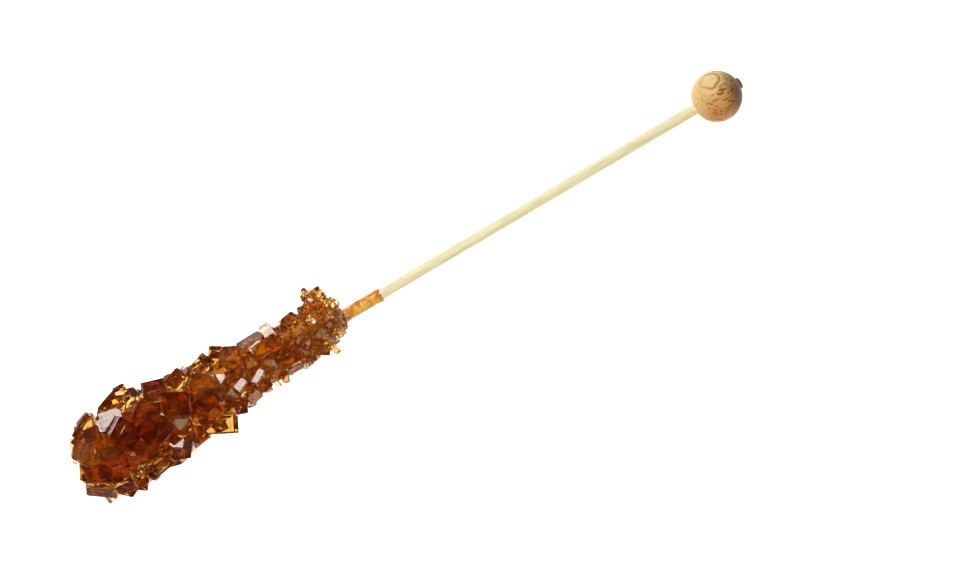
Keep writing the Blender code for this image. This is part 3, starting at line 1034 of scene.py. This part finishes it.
def film_material():
    """Set caramel syrup: honey-coloured where thin, orange-brown where thick, with a satin gloss."""
    material = bpy.data.materials.new("sugar_film")
    nodes = Nodes(material)
    shader = nodes.shader
    patches = nodes.noise(nodes.position(PER_MM, (0.8, 1, 1)), 0.55, detail=5, roughness=0.6)
    honey = nodes.ramp(patches, HONEY)
    fibres = nodes.noise(nodes.position(PER_MM, ALONG_GRAIN), 2.2, detail=6, roughness=0.65)
    honey = nodes.mix(nodes.range(fibres, 0.4, 0.65, 0.0, 0.35), honey, HONEY_FIBRES)
    coords = nodes.add("ShaderNodeTexCoord")
    split = nodes.add("ShaderNodeSeparateXYZ")
    nodes.link(coords.outputs["Object"], split.inputs["Vector"])
    end = station_x(FILM_END)
    near_end = nodes.range(split.outputs["X"], end - END_BAND[0], end - END_BAND[1], 0.0, 0.75)
    honey = nodes.mix(near_end, honey, HONEY_AT_END)
    start = station_x(CANDY_START)
    near_candy = nodes.range(split.outputs["X"], start + CANDY_BAND[0], start + CANDY_BAND[1], 0.4, 0.0)
    honey = nodes.mix(near_candy, honey, HONEY_AT_CANDY)
    nodes.link(honey, shader.inputs["Base Color"])
    shader.inputs["Roughness"].default_value = FILM_ROUGHNESS
    grit = nodes.noise(nodes.position(PER_MM), 3.5, detail=4)
    nodes.bump(grit, *FILM_BUMP)
    return material


def birch_material():
    """Pale birch with long fibres, brown with syrup inside the candy, and painted shade on the end past the
    ball.
    """
    material = bpy.data.materials.new("birch")
    nodes = Nodes(material)
    shader = nodes.shader
    fibres = nodes.noise(nodes.position(PER_MM, ALONG_GRAIN), 2.2, detail=6, roughness=0.65)
    streaks = nodes.noise(nodes.position(PER_MM, (0.02, 1, 1)), 0.9, detail=3)
    wood = nodes.ramp(fibres, BIRCH)
    wood = nodes.mix(nodes.range(streaks, 0.5, 0.75, 0.0, 0.35), wood, BIRCH_STREAKS)
    coords = nodes.add("ShaderNodeTexCoord")
    split = nodes.add("ShaderNodeSeparateXYZ")
    nodes.link(coords.outputs["Object"], split.inputs["Vector"])
    soaked_from = station_x(CANDY_START)
    soaked_to = soaked_from - SOAKED_BAND[0]
    soaked = nodes.range(split.outputs["X"], soaked_to, soaked_from + SOAKED_BAND[1], 1.0, 0.0)
    wood = nodes.mix(soaked, wood, BIRCH_SOAKED)
    # Painted shade: the end of the stick past the ball is painted dark
    past_ball = station_x(-NUB_START)
    painted_nub_shade = nodes.range(split.outputs["X"], past_ball - NUB_BLUR, past_ball + NUB_BLUR, 0.0, 0.9)
    nodes.link(nodes.mix(painted_nub_shade, wood, BIRCH_NUB_PAINTED_SHADE), shader.inputs["Base Color"])
    nodes.link(nodes.range(fibres, 0.3, 0.7, 0.62, 0.48), shader.inputs["Roughness"])
    nodes.bump(fibres, *BIRCH_BUMP)
    return material


def beech_material():
    """Pale tan beech with a ring of grain on top, short dark ray flecks, painted light on one side and
    painted shade on the far side.
    """
    material = bpy.data.materials.new("beech")
    nodes = Nodes(material)
    shader = nodes.shader
    coords = nodes.add("ShaderNodeTexCoord")
    middle = ball_centre()
    slope = STICK_FRAME.to_3x3()
    ring_centre = middle + slope @ RING_PLACE * MM
    reach = nodes.add("ShaderNodeVectorMath", operation="DISTANCE")
    nodes.link(coords.outputs["Object"], reach.inputs[0])
    reach.inputs[1].default_value = ring_centre
    wobble = nodes.noise(nodes.position(PER_MM), 0.55, detail=3)
    ring = nodes.add("ShaderNodeMath", operation="MULTIPLY_ADD")
    nodes.link(reach.outputs["Value"], ring.inputs[0])
    ring.inputs[1].default_value = 1 / (RING_SPAN * MM)
    nodes.link(nodes.range(wobble, 0.0, 1.0, -RING_WOBBLE, RING_WOBBLE), ring.inputs[2])
    wood = nodes.ramp(ring.outputs["Value"], RING_COLOURS)
    bands = nodes.noise(nodes.position(PER_MM, (0.25, 1, 0.6)), 0.9, detail=5, roughness=0.6)
    wood = nodes.mix(nodes.range(bands, 0.42, 0.68, 0.0, 0.45), wood, BEECH_BANDS)
    flecks = nodes.noise(nodes.position(PER_MM, (0.45, 1.6, 1.6)), 1.3, detail=2, roughness=0.4)
    fleck_zone = nodes.range(ring.outputs["Value"], 0.33, 0.46, 0.0, 0.8)
    fleck = nodes.add("ShaderNodeMath", operation="MULTIPLY")
    nodes.link(nodes.range(flecks, 0.57, 0.61, 0.0, 1.0), fleck.inputs[0])
    nodes.link(fleck_zone, fleck.inputs[1])
    wood = nodes.mix(fleck.outputs["Value"], wood, BEECH_FLECKS)
    # Painted light on one side of the ball and painted shade on its far side
    for direction, near, far, colour in BALL_PAINTED_LIGHT_AND_SHADE:
        side = slope @ direction
        along = nodes.add("ShaderNodeVectorMath", operation="DOT_PRODUCT")
        nodes.link(coords.outputs["Object"], along.inputs[0])
        along.inputs[1].default_value = side
        start = middle.dot(side)
        share = nodes.range(along.outputs["Value"], start + near * MM, start + far * MM, 0.0, PAINTED_SIDE_SHARE)
        wood = nodes.mix(share, wood, colour)
    nodes.link(wood, shader.inputs["Base Color"])
    shader.inputs["Roughness"].default_value = BEECH_ROUGHNESS
    shader.inputs["Specular IOR Level"].default_value = BEECH_SPECULAR
    nodes.bump(flecks, *BEECH_BUMP)
    return material


# ---------------------------------------------------------------- stage


def make_floor():
    """A pale table top that glows a little, as a product photographer's light table does."""
    bm = bmesh.new()
    bmesh.ops.create_grid(bm, x_segments=2, y_segments=2, size=FLOOR_HALF_WIDTH)
    material = bpy.data.materials.new("floor")
    nodes = Nodes(material)
    nodes.shader.inputs["Base Color"].default_value = FLOOR_COLOUR
    nodes.shader.inputs["Roughness"].default_value = FLOOR_ROUGHNESS
    nodes.shader.inputs["Specular IOR Level"].default_value = 0.0
    nodes.shader.inputs["Emission Color"].default_value = (1, 1, 1, 1)
    coords = nodes.add("ShaderNodeTexCoord")
    reach = nodes.add("ShaderNodeVectorMath", operation="LENGTH")
    nodes.link(coords.outputs["Object"], reach.inputs[0])
    glow = nodes.range(reach.outputs["Value"], FLOOR_BRIGHT, FLOOR_DIM, FLOOR_GLOW, 0.0)
    nodes.link(glow, nodes.shader.inputs["Emission Strength"])
    floor = object_from(bm, "floor", material, smooth=False)


def make_world():
    """Surroundings that are warm and dim at the horizon and nearly black overhead."""
    world = bpy.data.worlds.new("studio")
    bpy.context.scene.world = world
    world.use_nodes = True
    tree = world.node_tree
    background = tree.nodes["Background"]
    coords = tree.nodes.new("ShaderNodeTexCoord")
    split = tree.nodes.new("ShaderNodeSeparateXYZ")
    ramp = tree.nodes.new("ShaderNodeValToRGB")
    tree.links.new(coords.outputs["Generated"], split.inputs["Vector"])
    tree.links.new(split.outputs["Z"], ramp.inputs["Fac"])
    tree.links.new(ramp.outputs["Color"], background.inputs["Color"])
    elements = ramp.color_ramp.elements
    elements[0].position = HORIZON_TOP
    elements[0].color = HORIZON_COLOUR
    elements[1].position = ZENITH_FROM
    elements[1].color = ZENITH_COLOUR
    background.inputs["Strength"].default_value = 1.0


def aim(obj, target):
    """Turns a light or the camera towards a point."""
    obj.rotation_mode = "QUATERNION"
    obj.rotation_quaternion = (target - obj.location).to_track_quat("-Z", "Y")


def make_window(name, towards, size, radiance, colour):
    """A square soft light of the given side and radiance, aimed at the candy."""
    light = bpy.data.lights.new(name, "AREA")
    light.shape = "RECTANGLE"
    light.size = size
    light.size_y = size
    light.energy = radiance * math.pi * size**2
    light.color = colour
    obj = bpy.data.objects.new(name, light)
    bpy.context.scene.collection.objects.link(obj)
    obj.location = LIGHT_TARGET + towards * WINDOW_DISTANCE
    aim(obj, LIGHT_TARGET)


def make_camera():
    """Looks down on the lying stick from nearly overhead, through a long lens."""
    data = bpy.data.cameras.new("camera")
    data.sensor_width = CAMERA_SENSOR
    data.lens = CAMERA_LENS
    camera = bpy.data.objects.new("camera", data)
    bpy.context.scene.collection.objects.link(camera)
    camera.location = VIEW_TARGET + TO_CAMERA * CAMERA_DISTANCE
    aim(camera, VIEW_TARGET)
    bpy.context.scene.camera = camera


def main():
    scene = bpy.context.scene
    scene.view_settings.view_transform = "Standard"
    make_camera()
    make_world()
    make_window("window", TO_WINDOW, WINDOW_SIZE, WINDOW_RADIANCE, WINDOW_COLOUR)
    make_window("fill", TO_FILL, FILL_SIZE, FILL_RADIANCE, FILL_COLOUR)
    make_floor()
    candy = make_candy(sugar_material())
    heart = make_heart(cloudy_material())
    film = make_film(film_material())
    for piece in (heart, film):
        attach(piece, "root")
    stick = make_stick(birch_material())
    ball = make_ball(beech_material())
    for piece, node, slot in (
        (stick, "stick", "birch"),
        (ball, "ball", "beech"),
        (candy, "candy", "amber_sugar"),
    ):
        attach(piece, "root")
        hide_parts(node)


main()
